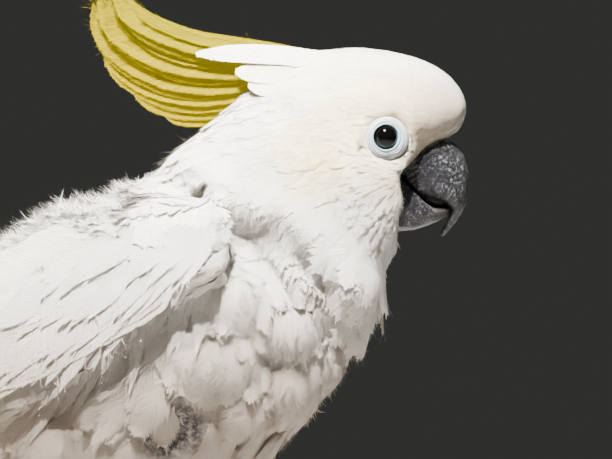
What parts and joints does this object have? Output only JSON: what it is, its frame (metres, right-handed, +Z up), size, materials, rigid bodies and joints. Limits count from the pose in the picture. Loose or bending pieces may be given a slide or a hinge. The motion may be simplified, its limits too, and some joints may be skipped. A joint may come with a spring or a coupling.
{
  "type": "white cockatoo",
  "caption": "Life-size standing white cockatoo, a still museum-like model with a raised yellow crest, folded wings, closed tail and gripping feet set flat.",
  "frame": {"origin": "on the floor under the middle of the bounding box, between the feet and a little behind them", "axes": "+X the way the bird faces, +Y its left side, +Z up"},
  "size_m": [0.4463, 0.1172, 0.3176],
  "materials": {
    "white_plumage": "soft matt feathers, warm white",
    "wing_feathers": "smooth firm feathers, white, faint yellow below",
    "tail_feathers": "smooth firm feathers, white, faint yellow below",
    "yellow_crest": "soft feathers, lemon to deep yellow",
    "beak_horn": "satin horn with pale powder",
    "eye_dark": "wet gloss",
    "eye_ring_skin": "bare wrinkled skin, pale blue-white",
    "foot_skin": "scaled skin, dark grey",
    "claw_horn": "satin horn, near black"
  },
  "bodies": {
    "root": {"claw_1_left": "claw_horn", "claw_1_right": "claw_horn", "claw_2_left": "claw_horn", "claw_2_right": "claw_horn", "claw_3_left": "claw_horn", "claw_3_right": "claw_horn", "claw_4_left": "claw_horn", "claw_4_right": "claw_horn", "crest_cover_left": "white_plumage", "crest_cover_right": "white_plumage", "crest_plume_1": "yellow_crest", "crest_plume_2": "yellow_crest", "crest_plume_3": "yellow_crest", "crest_plume_4": "yellow_crest", "crest_plume_5": "yellow_crest", "crest_plume_6": "yellow_crest", "eye_left": "eye_dark", "eye_right": "eye_dark", "eye_ring_left": "eye_ring_skin", "eye_ring_right": "eye_ring_skin", "foot_pad_left": "foot_skin", "foot_pad_right": "foot_skin", "head": "white_plumage", "lower_beak": "beak_horn", "neck": "white_plumage", "shank_left": "foot_skin", "shank_right": "foot_skin", "tail": "tail_feathers", "thigh_left": "white_plumage", "thigh_right": "white_plumage", "toe_1_left": "foot_skin", "toe_1_right": "foot_skin", "toe_2_left": "foot_skin", "toe_2_right": "foot_skin", "toe_3_left": "foot_skin", "toe_3_right": "foot_skin", "toe_4_left": "foot_skin", "toe_4_right": "foot_skin", "trunk": "white_plumage", "upper_beak": "beak_horn", "wing_coverts_left": "white_plumage", "wing_coverts_right": "white_plumage", "wing_primaries_left": "wing_feathers", "wing_primaries_right": "wing_feathers", "wing_secondaries_left": "wing_feathers", "wing_secondaries_right": "wing_feathers"}
  },
  "joints": []
}
